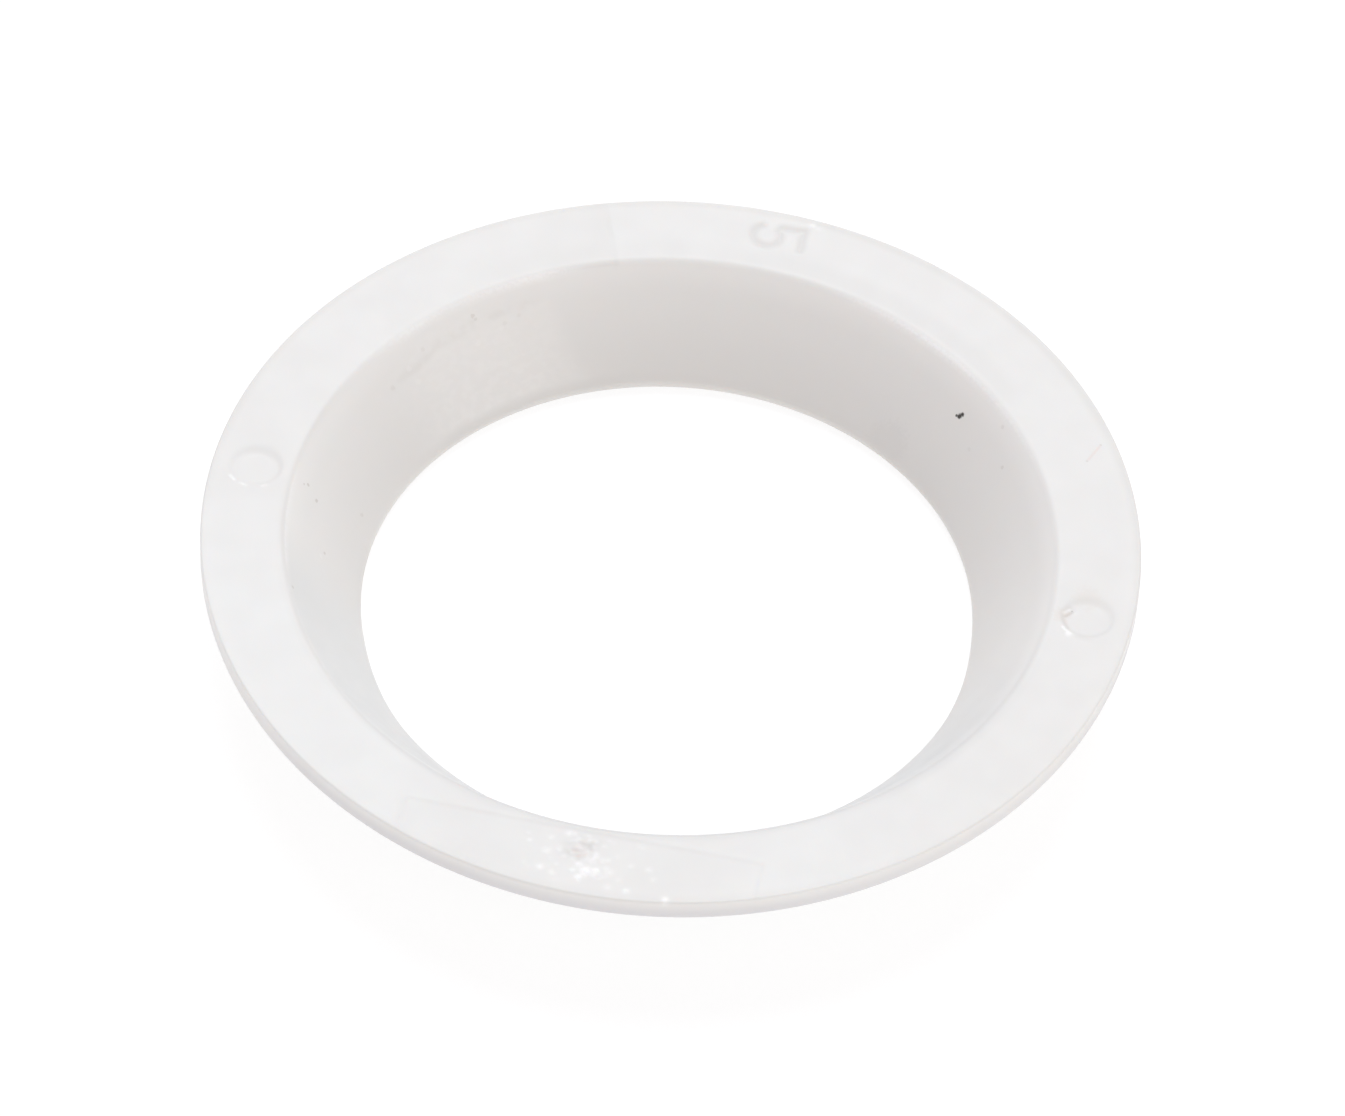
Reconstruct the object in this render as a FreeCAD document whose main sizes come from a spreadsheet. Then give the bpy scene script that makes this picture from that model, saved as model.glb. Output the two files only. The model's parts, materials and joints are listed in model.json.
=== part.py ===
import FreeCAD, Part
import Sketcher
import os
from math import acos, cos, pi, radians, sin, tan

# Toilet flange: one injection-moulded plastic ring. A flat flange carries a funnel-shaped collar that
# points down into the drain, and the flange's top face carries the marks that the mould leaves on it.
#
# Millimetres. +Z is up, and the origin is the middle of the collar's bottom edge. +X points to one of the
# two ejector-pin marks. The gate is towards -Y and the cavity figure is towards +Y.

SIZES = {
    # flange
    "rim_radius": 54.0,
    "flange_thickness": 2.6,
    "total_height": 13.0,
    "rim_edge_radius": 0.25,
    # collar: the angle is each wall's lean from the vertical, in degrees
    "throat_radius": 35.3,
    "wall_thickness": 2.0,
    "collar_angle": 37.5,
    "bore_edge_radius": 1.2,
    "under_flange_radius": 1.0,
    # ejector-pin marks, one on each side, both a little towards the gate
    "pin_mark_offset": 48.7,
    "pin_mark_shift": 0.4,
    "pin_mark_radius": 3.05,
    "pin_mark_depth": 0.12,
    # face of the mould insert that holds the gate: it leaves a straight step across the flange
    "insert_edge": 45.1,
    "insert_half_width": 20.3,
    "insert_step": 0.05,
    # gate: a dish with the broken-off stub below the flange's face
    "gate_offset": 48.0,
    "gate_dish_radius": 1.3,
    "gate_dish_depth": 0.35,
    "gate_stub_radius": 0.6,
    "gate_stub_height": 0.2,
    # cavity figure, sunk into the flange, its top towards +X
    "figure_across": 2.2,
    "figure_out": 49.9,
    "figure_height": 6.9,
    "figure_width": 4.4,
    "figure_stroke": 1.0,
    "figure_depth": 0.15,
    "figure_bar_inset": 0.3,
    "figure_stem_inset": 0.2,
    # where the figure's bowl starts and ends, in degrees about the bowl's middle
    "bowl_start_angle": 120.0,
    "bowl_end_angle": -145.0,
}
# How far the insert's outline runs past the rim, so that it cuts right through it.
PAST_RIM = 1.0

doc = FreeCAD.newDocument("toilet_flange")
sheet = doc.addObject("Spreadsheet::Sheet", "Sizes")
for row, (alias, value) in enumerate(SIZES.items(), start=1):
    sheet.set(f"A{row}", alias)
    sheet.set(f"B{row}", str(value))
    sheet.setAlias(f"B{row}", alias)
doc.recompute()


def new_sketch(body, name, role, height=None):
    """A sketch on one of the body's own origin planes, lifted by an expression if height is given."""
    sketch = body.newObject("Sketcher::SketchObject", name)
    plane = next(item for item in body.Origin.OriginFeatures if item.Role == role)
    sketch.AttachmentSupport = [(plane, "")]
    sketch.MapMode = "FlatFace"
    if height:
        sketch.setExpression("AttachmentOffset.Base.z", height)
    return sketch


def drive(sketch, name, expression, *constraint):
    """Add a named constraint whose value comes from the spreadsheet."""
    index = sketch.addConstraint(Sketcher.Constraint(*constraint))
    sketch.renameConstraint(index, name)
    sketch.setExpression(f"Constraints.{name}", expression)


def draw_lines(sketch, points):
    """Join the points with straight lines, each line's start fixed to the last line's end."""
    lines = []
    for start, end in zip(points, points[1:]):
        segment = Part.LineSegment(FreeCAD.Vector(*start, 0), FreeCAD.Vector(*end, 0))
        lines.append(sketch.addGeometry(segment))
    for first, second in zip(lines, lines[1:]):
        sketch.addConstraint(Sketcher.Constraint("Coincident", first, 2, second, 1))
    return lines


def draw_arc(sketch, centre, radius, start, end):
    """An arc that runs anticlockwise from one angle to the other, in radians."""
    circle = Part.Circle(FreeCAD.Vector(*centre, 0), FreeCAD.Vector(0, 0, 1), radius)
    return sketch.addGeometry(Part.ArcOfCircle(circle, start, end))


def circle_edge(feature, radius, height):
    """The name of the feature's full-circle edge about the Z axis with this radius and height."""
    for number, edge in enumerate(feature.Shape.Edges, start=1):
        if not isinstance(edge.Curve, Part.Circle):
            continue
        centre = edge.Curve.Center
        on_axis = abs(centre.x) < 1e-4 and abs(centre.y) < 1e-4
        if on_axis and abs(centre.z - height) < 1e-3 and abs(edge.Curve.Radius - radius) < 1e-3:
            return f"Edge{number}"
    raise ValueError(f"no circular edge of radius {radius} at height {height}")


def round_edges(body, name, base, edges, radius):
    fillet = body.newObject("PartDesign::Fillet", name)
    fillet.Base = (base, edges)
    fillet.setExpression("Radius", radius)
    doc.recompute()
    return fillet


def sink(body, name, sketch, depth):
    """Pocket the sketch down into the flange's top face, and make sure that it took something away."""
    before = body.Shape.Volume
    pocket = body.newObject("PartDesign::Pocket", name)
    pocket.Profile = sketch
    pocket.setExpression("Length", depth)
    doc.recompute()
    if pocket.Shape.Volume >= before:
        raise ValueError(f"{name} took nothing away")
    return pocket


def draw_profile(body):
    """Half of the ring's cross-section: flange, then the collar's two parallel walls and round lip."""
    lean = radians(SIZES["collar_angle"])
    lip = SIZES["wall_thickness"] / 2
    top = SIZES["total_height"]
    under = top - SIZES["flange_thickness"]
    centre = (SIZES["throat_radius"] + lip, lip)
    inner = (centre[0] - lip * cos(lean), centre[1] + lip * sin(lean))
    outer = (centre[0] + lip * cos(lean), centre[1] - lip * sin(lean))
    bore_corner = (inner[0] + (top - inner[1]) * tan(lean), top)
    under_corner = (outer[0] + (under - outer[1]) * tan(lean), under)
    rim_top = (SIZES["rim_radius"], top)
    rim_bottom = (SIZES["rim_radius"], under)

    sketch = new_sketch(body, "profile", "XZ_Plane")
    points = [inner, bore_corner, rim_top, rim_bottom, under_corner, outer]
    bore_wall, top_face, rim, underside, outer_wall = draw_lines(sketch, points)
    lip_arc = draw_arc(sketch, centre, lip, pi - lean, 2 * pi - lean)
    sketch.addConstraint(Sketcher.Constraint("Tangent", bore_wall, 1, lip_arc, 1))
    sketch.addConstraint(Sketcher.Constraint("Tangent", outer_wall, 2, lip_arc, 2))
    sketch.addConstraint(Sketcher.Constraint("Parallel", bore_wall, outer_wall))
    sketch.addConstraint(Sketcher.Constraint("Horizontal", top_face))
    sketch.addConstraint(Sketcher.Constraint("Vertical", rim))
    sketch.addConstraint(Sketcher.Constraint("Horizontal", underside))

    drive(sketch, "rim_radius", "Sizes.rim_radius", "DistanceX", -1, 1, top_face, 2, rim_top[0])
    drive(sketch, "height", "Sizes.total_height", "DistanceY", -1, 1, top_face, 2, top)
    drive(sketch, "thickness", "Sizes.flange_thickness", "DistanceY", rim, 2, rim, 1, top - under)
    drive(sketch, "lean", "90 - Sizes.collar_angle", "Angle", bore_wall, pi / 2 - lean)
    drive(sketch, "lip_radius", "Sizes.wall_thickness / 2", "Radius", lip_arc, lip)
    drive(sketch, "lip_out", "Sizes.throat_radius + Sizes.wall_thickness / 2",
          "DistanceX", -1, 1, lip_arc, 3, centre[0])
    drive(sketch, "lip_up", "Sizes.wall_thickness / 2", "DistanceY", -1, 1, lip_arc, 3, lip)
    return sketch, bore_corner[0], under_corner[0]


def make_ring(body):
    """Turn the cross-section, then round its edges."""
    sketch, bore_corner, under_corner = draw_profile(body)
    ring = body.newObject("PartDesign::Revolution", "ring")
    ring.Profile = sketch
    ring.ReferenceAxis = (sketch, ["V_Axis"])
    ring.Angle = 360
    doc.recompute()

    rim = SIZES["rim_radius"]
    top = SIZES["total_height"]
    under = top - SIZES["flange_thickness"]
    edge = circle_edge(ring, bore_corner, top)
    feature = round_edges(body, "bore_edge", ring, [edge], "Sizes.bore_edge_radius")
    edge = circle_edge(feature, under_corner, under)
    feature = round_edges(body, "under_flange", feature, [edge], "Sizes.under_flange_radius")
    edges = [circle_edge(feature, rim, top), circle_edge(feature, rim, under)]
    round_edges(body, "rim_edges", feature, edges, "Sizes.rim_edge_radius")


def add_insert_step(body):
    """The insert's face lies a little deeper, so a straight step shows where it meets the mould."""
    half = SIZES["insert_half_width"]
    near = -SIZES["insert_edge"]
    far = -SIZES["rim_radius"] - PAST_RIM
    sketch = new_sketch(body, "insert_outline", "XY_Plane", "Sizes.total_height")
    corners = [(-half, near), (half, near), (half, far), (-half, far), (-half, near)]
    step, right, end, left = draw_lines(sketch, corners)
    sketch.addConstraint(Sketcher.Constraint("Coincident", left, 2, step, 1))
    for line in (step, end):
        sketch.addConstraint(Sketcher.Constraint("Horizontal", line))
    for line in (right, left):
        sketch.addConstraint(Sketcher.Constraint("Vertical", line))
    drive(sketch, "right", "Sizes.insert_half_width", "DistanceX", -1, 1, step, 2, half)
    drive(sketch, "left", "Sizes.insert_half_width", "DistanceX", step, 1, -1, 1, half)
    drive(sketch, "near", "Sizes.insert_edge", "DistanceY", step, 1, -1, 1, -near)
    drive(sketch, "far", f"Sizes.rim_radius + {PAST_RIM}", "DistanceY", end, 1, -1, 1, -far)
    sink(body, "insert_step", sketch, "Sizes.insert_step")


def draw_circle(sketch, middle, radius):
    circle = Part.Circle(FreeCAD.Vector(*middle, 0), FreeCAD.Vector(0, 0, 1), radius)
    return sketch.addGeometry(circle)


def add_pin_marks(body):
    """Two shallow round marks, one on each side."""
    out = SIZES["pin_mark_offset"]
    shift = SIZES["pin_mark_shift"]
    radius = SIZES["pin_mark_radius"]
    sketch = new_sketch(body, "pin_mark_outlines", "XY_Plane", "Sizes.total_height")
    right = draw_circle(sketch, (out, -shift), radius)
    left = draw_circle(sketch, (-out, -shift), radius)
    drive(sketch, "right_out", "Sizes.pin_mark_offset", "DistanceX", -1, 1, right, 3, out)
    drive(sketch, "left_out", "Sizes.pin_mark_offset", "DistanceX", left, 3, -1, 1, out)
    for name, circle in (("right", right), ("left", left)):
        drive(sketch, f"{name}_shift", "Sizes.pin_mark_shift", "DistanceY", circle, 3, -1, 1, shift)
        drive(sketch, f"{name}_radius", "Sizes.pin_mark_radius", "Radius", circle, radius)
    sink(body, "pin_marks", sketch, "Sizes.pin_mark_depth")


def draw_gate_circle(body, name, height, radius):
    """A circle about the gate's middle, which is on the Y axis; radius is the name of a size."""
    out = SIZES["gate_offset"]
    sketch = new_sketch(body, name, "XY_Plane", height)
    circle = draw_circle(sketch, (0, -out), SIZES[radius])
    sketch.addConstraint(Sketcher.Constraint("PointOnObject", circle, 3, -2))
    drive(sketch, "offset", "Sizes.gate_offset", "DistanceY", circle, 3, -1, 1, out)
    drive(sketch, "radius", f"Sizes.{radius}", "Radius", circle, SIZES[radius])
    return sketch


def add_gate(body):
    """A dish in the flange's face, and in it the stub that is left where the runner broke off."""
    dish = draw_gate_circle(body, "gate_dish_outline", "Sizes.total_height", "gate_dish_radius")
    sink(body, "gate_dish", dish, "Sizes.gate_dish_depth")
    floor = "Sizes.total_height - Sizes.gate_dish_depth"
    stub = body.newObject("PartDesign::Pad", "gate_stub")
    stub.Profile = draw_gate_circle(body, "gate_stub_outline", floor, "gate_stub_radius")
    stub.setExpression("Length", "Sizes.gate_stub_height")
    doc.recompute()


def draw_figure(body):
    """A figure 5: a bar, a stem and an open bowl. It is drawn upright, and its sketch turns it to +X."""
    stroke = SIZES["figure_stroke"]
    radius = SIZES["figure_width"] / 2
    hole = radius - stroke
    top = SIZES["figure_height"] / 2
    middle = radius - top
    start = radians(SIZES["bowl_start_angle"])
    end = radians(SIZES["bowl_end_angle"])
    stem_out = SIZES["figure_stem_inset"] - radius
    stem_in = stem_out + stroke
    bar_out = radius - SIZES["figure_bar_inset"]
    join = acos(stem_in / radius)
    foot_up = middle + hole * sin(start)

    sketch = new_sketch(body, "figure_outline", "XY_Plane")
    turn = FreeCAD.Rotation(FreeCAD.Vector(0, 0, 1), -90)
    sketch.AttachmentOffset = FreeCAD.Placement(FreeCAD.Vector(0, 0, 0), turn)
    sketch.setExpression("AttachmentOffset.Base.x", "Sizes.figure_across")
    sketch.setExpression("AttachmentOffset.Base.y", "Sizes.figure_out")
    sketch.setExpression("AttachmentOffset.Base.z", "Sizes.total_height")

    points = [(stem_in, middle + radius * sin(join)), (stem_in, top - stroke), (bar_out, top - stroke),
              (bar_out, top), (stem_out, top), (stem_out, foot_up), (hole * cos(start), foot_up)]
    stem_right, bar_under, bar_end, bar_top, stem_left, foot = draw_lines(sketch, points)
    outside = draw_arc(sketch, (0, middle), radius, end, join)
    inside = draw_arc(sketch, (0, middle), hole, end, start)
    tail_points = [(hole * cos(end), middle + hole * sin(end)),
                   (radius * cos(end), middle + radius * sin(end))]
    tail, = draw_lines(sketch, tail_points)

    joints = [(outside, 2, stem_right, 1), (foot, 2, inside, 2), (inside, 1, tail, 1),
              (tail, 2, outside, 1), (outside, 3, inside, 3)]
    for joint in joints:
        sketch.addConstraint(Sketcher.Constraint("Coincident", *joint))
    for line in (stem_right, bar_end, stem_left):
        sketch.addConstraint(Sketcher.Constraint("Vertical", line))
    for line in (bar_under, bar_top, foot):
        sketch.addConstraint(Sketcher.Constraint("Horizontal", line))
    sketch.addConstraint(Sketcher.Constraint("PointOnObject", outside, 3, -2))
    sketch.addConstraint(Sketcher.Constraint("PointOnObject", outside, 3, tail))

    bowl_radius = "Sizes.figure_width / 2"
    hole_radius = "(Sizes.figure_width / 2 - Sizes.figure_stroke)"
    drive(sketch, "outside", bowl_radius, "Radius", outside, radius)
    drive(sketch, "inside", hole_radius, "Radius", inside, hole)
    drive(sketch, "bowl_down", f"Sizes.figure_height / 2 - {bowl_radius}",
          "DistanceY", outside, 3, -1, 1, -middle)
    drive(sketch, "top", "Sizes.figure_height / 2", "DistanceY", -1, 1, bar_top, 1, top)
    drive(sketch, "bar_stroke", "Sizes.figure_stroke", "DistanceY", bar_end, 1, bar_end, 2, stroke)
    drive(sketch, "bar_out", f"{bowl_radius} - Sizes.figure_bar_inset",
          "DistanceX", -1, 1, bar_end, 1, bar_out)
    drive(sketch, "stem_out", f"{bowl_radius} - Sizes.figure_stem_inset",
          "DistanceX", stem_left, 1, -1, 1, -stem_out)
    drive(sketch, "stem_stroke", "Sizes.figure_stroke",
          "DistanceX", stem_left, 1, stem_right, 2, stroke)
    drive(sketch, "foot_out", f"-{hole_radius} * cos(Sizes.bowl_start_angle)",
          "DistanceX", foot, 2, -1, 1, -hole * cos(start))
    drive(sketch, "tail_angle", "Sizes.bowl_end_angle", "Angle", tail, end)
    return sketch


def add_cavity_figure(body):
    sink(body, "cavity_figure", draw_figure(body), "Sizes.figure_depth")


def check(objects):
    """Stop unless every object was computed and the ring is one good solid."""
    for item in objects:
        if "Invalid" in item.State or "Error" in item.State:
            raise RuntimeError(f"{item.Name} failed: {item.State}")
        if item.isDerivedFrom("Sketcher::SketchObject") and item.solve() != 0:
            raise RuntimeError(f"{item.Name} can't be solved")
    for item in objects:
        if item.isDerivedFrom("PartDesign::Body"):
            shape = item.Shape
            if shape.isNull() or not shape.isValid() or len(shape.Solids) != 1:
                raise RuntimeError(f"{item.Label} isn't one valid solid")


flange = doc.addObject("PartDesign::Body", "flange_ring")
flange.Label = "flange_ring"
flange.Placement = FreeCAD.Placement()
make_ring(flange)
add_insert_step(flange)
add_pin_marks(flange)
add_gate(flange)
add_cavity_figure(flange)
doc.recompute()
check(doc.Objects)

os.makedirs("parts", exist_ok=True)
flange.Shape.exportStep(f"parts/{flange.Label}.step")
box = flange.Shape.optimalBoundingBox(False)
print(f"{flange.Label}: {box.XLength:.2f} x {box.YLength:.2f} x {box.ZLength:.2f} mm,",
      f"{flange.Shape.Volume / 1000:.2f} cm3")
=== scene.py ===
import json
from math import cos, hypot, pi, radians, sin, tan

import bpy
import numpy as np
from mathutils import Matrix, Vector, noise


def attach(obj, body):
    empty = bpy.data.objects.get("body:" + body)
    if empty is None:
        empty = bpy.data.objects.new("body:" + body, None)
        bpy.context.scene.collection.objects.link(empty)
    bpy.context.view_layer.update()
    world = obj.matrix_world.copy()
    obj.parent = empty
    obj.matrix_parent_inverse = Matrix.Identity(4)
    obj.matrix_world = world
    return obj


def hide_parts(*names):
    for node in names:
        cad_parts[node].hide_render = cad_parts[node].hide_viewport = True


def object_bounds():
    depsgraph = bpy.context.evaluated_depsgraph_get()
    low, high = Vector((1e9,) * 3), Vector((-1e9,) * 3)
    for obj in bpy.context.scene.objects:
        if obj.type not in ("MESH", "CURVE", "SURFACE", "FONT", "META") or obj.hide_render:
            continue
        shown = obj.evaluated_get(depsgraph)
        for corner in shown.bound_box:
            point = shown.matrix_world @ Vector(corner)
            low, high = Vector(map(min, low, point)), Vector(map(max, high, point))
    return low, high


# The looks of the toilet flange: one white plastic moulding, a flat flange with a funnel collar below it.
# The moulding is a lathe mesh whose top face carries the mould's marks as real relief. Lengths in the
# code are millimetres until a mesh or an object is made, and azimuths are degrees from +X towards +Y.

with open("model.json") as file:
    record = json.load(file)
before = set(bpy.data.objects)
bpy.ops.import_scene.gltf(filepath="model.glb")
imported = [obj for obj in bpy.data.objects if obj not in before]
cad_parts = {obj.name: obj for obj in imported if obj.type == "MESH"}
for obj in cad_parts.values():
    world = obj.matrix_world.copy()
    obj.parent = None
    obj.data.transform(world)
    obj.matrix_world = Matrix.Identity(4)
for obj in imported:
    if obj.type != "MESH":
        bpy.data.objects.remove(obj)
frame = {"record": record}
cad_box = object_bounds()

MM = 0.001
mounts = {mount["name"]: mount for mount in frame["record"]["mounts"]}
RIM = mounts["flange_rim"]["dims"]["r_mm"]
TOP = mounts["flange_top"]["pos_m"][2] / MM
UNDER = mounts["flange_underside"]["pos_m"][2] / MM

# The collar and the edges, as in the CAD part.
THROAT = 35.3
LIP = 1.0
LEAN = 37.5
BORE_EDGE = 1.2
RIM_EDGE = 0.25
ROOT_FILLET = 1.0

# The radius of the middle of the bore's rounded edge.
BORE = THROAT + 9.0

# How the ring has sprung out of true. The rim has three lobes, is oval, is off centre and dips at the
# sides. The collar's lower end bulges at the front.
LOBES = 0.2
OVAL = 0.18
OFF_CENTRE = (0.12, 0.17)
DIP = 0.14
BULGE = 0.53
BULGE_AZIMUTH = 285

# The mould's marks on the top face.
PIN_OFFSET = 48.7
PIN_SHIFT = 0.4
PIN_RADIUS = 3.05
PIN_DEPTH = 0.105
PIN_TILT = 0.055

# The burrs of the two ejector pins' marks: the middle and half-length of each in degrees, its distance from
# the mark's edge, its width and how white it is, a whitening that paints the highlight its raised edge
# catches.
RIGHT_BURRS = [(-120, 21, 0.33, 0.18, 1.0), (-92, 14, 0.5, 0.15, 0.4)]
LEFT_BURRS = [(-132, 9, 0.4, 0.2, 0.7), (-104, 8, 0.35, 0.2, 0.6), (-61, 6, 0.3, 0.2, 0.35)]
BURR_HEIGHT = 0.09

# In the right-hand mark: the sliver of flash, the dark fold beside it, a light spot and the dark
# stretch of the mark's edge.
SLIVER = ((45.95, -0.5), (46.45, 0.1))
FOLD = ((46.15, -0.85), (46.8, -0.05))
GLINT = (47.2, -0.1)
PINCH = ((45.8, -1.2), (46.65, -2.6))

# The gate, the insert round it, the cavity figure, the weld line, the flow line and the scratch.
INSERT_EDGE = 45.1
INSERT_HALF = 20.3
GATE_MIDDLE = (0.2, -48.0)
GATE_RADIUS = 1.3
GATE_DEPTH = 0.14
STUB_HEIGHT = 0.07
INSERT_DEPTH = 0.03
FIGURE_MIDDLE = (2.2, 49.9)
FIGURE_DEPTH = 0.15
WELD_AZIMUTH = 110.0
WELD_DEPTH = 0.03
FLOW_AZIMUTH = 128
FLOW_HEIGHT = 10.5
SCRATCH = ((44.3, 23.3), (45.4, 26.2))

# Dark patches on the torn gate: place, radius and darkness.
GATE_PATCHES = [(-1.0, -48.4, 0.8, 1.7), (0.1, -47.9, 0.75, 0.7), (0.9, -47.1, 0.7, 0.7),
                (1.5, -46.5, 0.8, 1.2), (0.2, -49.1, 0.5, 0.9), (0.5, -46.1, 0.7, 0.4),
                (-1.4, -47.1, 0.7, 0.4)]

# The plainest blisters of splayed plastic, two of them past the figure and the rest about the gate:
# place, radius and whiteness.
BLISTERS = [(1.4, -50.5, 0.42, 1.0), (2.4, -50.4, 0.38, 0.9), (0.7, -51.7, 0.38, 0.8),
            (0.4, -49.9, 0.34, 0.7), (2.0, -48.4, 0.36, 0.5), (-1.6, -45.8, 0.42, 0.5),
            (-3.5, -48.9, 0.5, 0.4), (-3.7, -51.3, 0.45, 0.55), (6.3, -52.4, 0.34, 0.6),
            (8.1, -48.9, 0.36, 0.4), (10.7, -52.5, 0.4, 0.9), (5.8, 52.6, 0.4, 0.5),
            (6.5, 52.3, 0.32, 0.35)]
BLISTER_HEIGHT = 0.09


# ---------------------------------------------------------------- the moulding's section

def arc(centre, radius, start, end, steps):
    """Section points (radius, height) along an arc, both ends included."""
    turns = [radians(start + (end - start) * step / steps) for step in range(steps + 1)]
    return [(centre[0] + radius * cos(turn), centre[1] + radius * sin(turn)) for turn in turns]


def between(start, end, steps):
    """Section points evenly spaced between two ends, without the ends."""
    shares = [step / steps for step in range(1, steps)]
    return [tuple(a + (b - a) * share for a, b in zip(start, end)) for share in shares]


def section():
    """The closed section, and how many of its first points lie on the top face and its two edges."""
    lean = radians(LEAN)
    reach = tan((pi / 2 - lean) / 2)
    lip_middle = (THROAT + LIP, LIP)
    bore_corner = THROAT + LIP - LIP * cos(lean) + (TOP - LIP - LIP * sin(lean)) * tan(lean)
    root_corner = THROAT + LIP + LIP * cos(lean) + (UNDER - LIP + LIP * sin(lean)) * tan(lean)
    rim_top = arc((RIM - RIM_EDGE, TOP - RIM_EDGE), RIM_EDGE, 0, 90, 5)
    bore = arc((bore_corner + BORE_EDGE * reach, TOP - BORE_EDGE), BORE_EDGE, 90, 180 - LEAN, 8)
    lip = arc(lip_middle, LIP, 180 - LEAN, 360 - LEAN, 16)
    root = arc((root_corner + ROOT_FILLET * reach, UNDER - ROOT_FILLET), ROOT_FILLET, 180 - LEAN, 90, 6)
    rim_under = arc((RIM - RIM_EDGE, UNDER + RIM_EDGE), RIM_EDGE, 270, 360, 5)
    marked = rim_top + between(rim_top[-1], bore[0], 48) + bore
    points = (marked + between(bore[-1], lip[0], 22) + lip + between(lip[-1], root[0], 14)
              + root + between(root[-1], rim_under[0], 10) + rim_under
              + between(rim_under[-1], rim_top[0], 4))
    return points, len(marked)


def azimuths():
    """Column azimuths in degrees, closer together where the top face has marks.

    Each window of closer columns is a middle, a half-width and a step.
    """
    pins = [(0, 4.8, 0.22), (180, 4.8, 0.22)]
    figure_and_weld = [(87.5, 5.2, 0.15), (WELD_AZIMUTH, 1.5, 0.3)]
    gate_and_insert = [(270, 12, 0.2), (270 - 24.5, 3.2, 0.25), (270 + 24.5, 3.2, 0.25), (270, 24, 0.45)]
    windows = pins + figure_and_weld + gate_and_insert
    columns = []
    here = -5.0
    while here < 355 - 0.1:
        columns.append(here)
        steps = [step for middle, half, step in windows if abs((here - middle + 180) % 360 - 180) <= half]
        here += min(steps, default=1.0)
    return np.array(columns)


# ---------------------------------------------------------------- relief on the top face

def ease(value, low, high):
    """0 below low, 1 above high and a smooth S between them."""
    share = np.clip((value - low) / (high - low), 0, 1)
    return share * share * (3 - 2 * share)


def to_segment(u, v, start, end):
    """Distance from each point to a straight stroke."""
    du, dv = end[0] - start[0], end[1] - start[1]
    share = np.clip(((u - start[0]) * du + (v - start[1]) * dv) / (du * du + dv * dv), 0, 1)
    return np.hypot(u - start[0] - share * du, v - start[1] - share * dv)


def to_bowl(u, v, middle, radius, gap_middle, gap_half):
    """Distance to a round stroke with a gap in it; the gap's middle and half-width are in degrees."""
    turn = np.degrees(np.arctan2(v - middle[1], u - middle[0]))
    off = (turn - gap_middle + 180) % 360 - 180
    on_arc = np.abs(np.hypot(u - middle[0], v - middle[1]) - radius)
    ends = [radians(gap_middle + side * gap_half) for side in (-1, 1)]
    tips = [(middle[0] + radius * cos(end), middle[1] + radius * sin(end)) for end in ends]
    to_tips = np.minimum(*[np.hypot(u - tip[0], v - tip[1]) for tip in tips])
    return np.where(np.abs(off) < gap_half, to_tips, on_arc)


def to_figure(x, y):
    """Distance to the nearest stroke of the cavity figure 5, whose top is towards +X."""
    u = FIGURE_MIDDLE[1] - y
    v = x - FIGURE_MIDDLE[0]
    strokes = [to_segment(u, v, (-1.6, 2.95), (1.5, 2.95)),
               to_segment(u, v, (-1.6, 2.95), (-1.45, 0.2)),
               to_segment(u, v, (-1.45, 0.2), (-1.0, 0.0)),
               to_bowl(u, v, (0, -1.3), 1.65, 170, 43)]
    return np.minimum.reduce(strokes)


def ridge(distance, width):
    """1 on a line and a smooth fall to nothing either side of it."""
    return np.exp(-(distance / width) ** 2)


def cavity_figure(x, y):
    """The sunk figure with soft, slightly uneven sides and a faint swelling round it: (height, painted shade
    in its strokes).
    """
    uneven = 0.06 * np.sin(2.3 * x + 0.8) * np.sin(1.9 * y)
    away = to_figure(x, y) + uneven
    height = 0.02 * ridge(away - 0.95, 0.2) - FIGURE_DEPTH * ridge(away, 0.45)
    return height, 0.95 * ridge(away, 0.52)


def pin_mark(x, y, far_groove, near_groove, burrs):
    """The dent of one ejector pin that sat a little tilted: (height, painted shade at its edge, painted
    highlight inside its far edge and along its burrs).

    far_groove and near_groove are how much darker the painted shade at its edge is away from the gate and
    towards it. The burrs are raised stretches outside the edge, whitened as a painted highlight.
    """
    turn = np.degrees(np.arctan2(y, x))
    out = np.hypot(x, y) - PIN_RADIUS
    far = (0.5 + 0.5 * np.sin(np.radians(turn))) ** 3
    near = (0.5 - 0.5 * np.sin(np.radians(turn))) ** 3
    slope = 0.35 + 1.1 * far
    depth = PIN_DEPTH + PIN_TILT * np.clip(y / PIN_RADIUS, -1, 1)
    height = -depth * (1 - ease(out, -slope, 0.35 * slope))
    edge = ridge(out + 0.05 + 0.45 * far, 0.25 + 0.5 * far)
    groove_shade_and_stain = (0.5 + far_groove * far + near_groove * near) * edge
    # A painted highlight just inside the far edge of the dent.
    whitened_and_highlight = 0.12 * far * ridge(out + 1.35, 0.25)
    for middle, half, gap, width, white in burrs:
        off = np.abs((turn - middle + 180) % 360 - 180)
        burr = white * (1 - ease(off, half - 4, half + 4)) * ridge(out - gap, width)
        height += BURR_HEIGHT * burr
        whitened_and_highlight += burr
    return height, groove_shade_and_stain, whitened_and_highlight


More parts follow.
